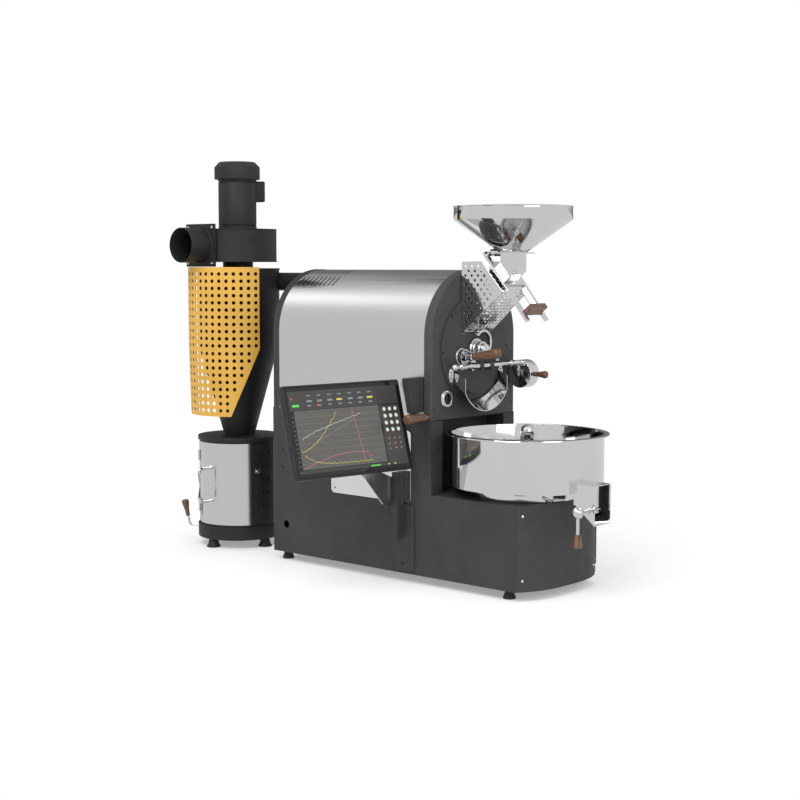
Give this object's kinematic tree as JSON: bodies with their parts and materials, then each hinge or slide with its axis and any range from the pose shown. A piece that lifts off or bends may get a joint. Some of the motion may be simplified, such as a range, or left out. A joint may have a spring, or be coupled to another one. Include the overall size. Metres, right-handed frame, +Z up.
{
  "type": "coffee bean roaster",
  "caption": "Home drum coffee roaster with hopper, cooling tray with stirrer, tilting display, slide gate, discharge door and a rear chaff cyclone with perforated guard",
  "frame": {"origin": "centre of the bounding box of the whole assembly at rest, on the floor plane under the feet", "axes": "+Z up; -Y is the front with the cooling tray; -X is the side with the display; the cyclone stands at +Y"},
  "size_m": [0.771, 1.3994, 1.1212],
  "materials": {
    "black_coat": "powder coat",
    "dark_coat": "powder coat",
    "yellow_coat": "powder coat",
    "satin_steel": "brushed",
    "bright_steel": "polished",
    "plain_steel": "plain",
    "cast_iron": "painted casting",
    "walnut": "oiled",
    "rubber": "matte",
    "glass_black": "gloss"
  },
  "bodies": {
    "machine": {"side_panel_left": "black_coat", "side_panel_right": "black_coat", "base_front_panel": "black_coat", "deck_panel": "black_coat", "front_cover": "black_coat", "rear_cover": "black_coat", "screen_arm": "black_coat", "screen_foot": "black_coat", "chassis": "dark_coat", "drum_motor": "dark_coat", "stirrer_motor": "dark_coat", "cyclone": "dark_coat", "fan_housing": "dark_coat", "outlet_duct": "dark_coat", "fan_motor": "dark_coat", "collector_base": "dark_coat", "collector_drum": "dark_coat", "cyclone_guard": "yellow_coat", "stainless_cover": "satin_steel", "feed_chute": "satin_steel", "discharge_chute": "bright_steel", "hinge_bracket_left": "bright_steel", "hinge_bracket_right": "bright_steel", "bearing_cap": "bright_steel", "sight_port": "bright_steel", "hopper": "bright_steel", "service_plate": "bright_steel", "chute_guard": "bright_steel", "gate_frame": "bright_steel", "cooling_tray": "bright_steel", "tray_chute": "bright_steel", "drum_housing": "plain_steel", "drum_bearing": "plain_steel", "burner": "plain_steel", "exhaust_pipe": "plain_steel", "drum_front_plate": "cast_iron", "foot_front_left": "rubber", "foot_front_right": "rubber", "foot_rear_left": "rubber", "foot_rear_right": "rubber"},
    "drum": {"roasting_drum": "plain_steel"},
    "door": {"discharge_door": "cast_iron", "door_counterweight": "bright_steel", "door_grip": "walnut"},
    "sampler": {"trier": "bright_steel", "trier_grip": "walnut"},
    "damper": {"damper_slide": "plain_steel", "damper_knob": "walnut"},
    "gate": {"slide_gate": "bright_steel", "gate_grip": "walnut"},
    "stirring_arms": {"stirrer": "bright_steel"},
    "flap": {"tray_flap": "bright_steel", "flap_grip": "walnut"},
    "display": {"screen": "dark_coat", "screen_glass": "glass_black"},
    "chaff_door": {"collector_door": "satin_steel"},
    "lever": {"collector_lever": "bright_steel", "collector_grip": "walnut"},
    "fan_wheel": {"fan_impeller": "plain_steel"}
  },
  "joints": [
    {"name": "drum_spin", "type": "hinge", "parent": "machine", "child": "drum", "pos_m": [0.17689, -0.27818, 0.6035], "axis": [0, 1, 0], "continuous": true},
    {"name": "door_swing", "type": "hinge", "parent": "machine", "child": "door", "pos_m": [0.17689, -0.31817, 0.563], "axis": [-1, 0, 0], "range_deg": [0, 80]},
    {"name": "trier_slide", "type": "slide", "parent": "machine", "child": "sampler", "axis": [0, -0.9877, 0.1564], "range_m": [0, 0.09]},
    {"name": "damper_slide_joint", "type": "slide", "parent": "machine", "child": "damper", "axis": [-1, 0, 0], "range_m": [0, 0.035]},
    {"name": "gate_slide", "type": "slide", "parent": "machine", "child": "gate", "axis": [0, -0.6293, -0.7771], "range_m": [0, 0.06]},
    {"name": "stirrer_spin", "type": "hinge", "parent": "machine", "child": "stirring_arms", "pos_m": [0.17689, -0.45298, 0.3], "axis": [0, 0, 1], "continuous": true},
    {"name": "flap_swing", "type": "hinge", "parent": "machine", "child": "flap", "pos_m": [0.17689, -0.68017, 0.227], "axis": [1, 0, 0], "range_deg": [0, 60]},
    {"name": "screen_tilt", "type": "hinge", "parent": "machine", "child": "display", "pos_m": [-0.19188, -0.13559, 0.4051], "axis": [0.9895, -0.1444, 0], "range_deg": [-15, 10]},
    {"name": "collector_door_swing", "type": "hinge", "parent": "machine", "child": "chaff_door", "pos_m": [0.01123, 0.62516, 0.19], "axis": [0, 0, -1], "range_deg": [0, 100]},
    {"name": "collector_lever_turn", "type": "hinge", "parent": "machine", "child": "lever", "pos_m": [0.01479, 0.67317, 0.05], "axis": [-0.6626, 0.749, 0], "range_deg": [-45, 45]},
    {"name": "fan_spin", "type": "hinge", "parent": "machine", "child": "fan_wheel", "pos_m": [0.11419, 0.56083, 0.88], "axis": [0, 0, 1], "continuous": true}
  ]
}
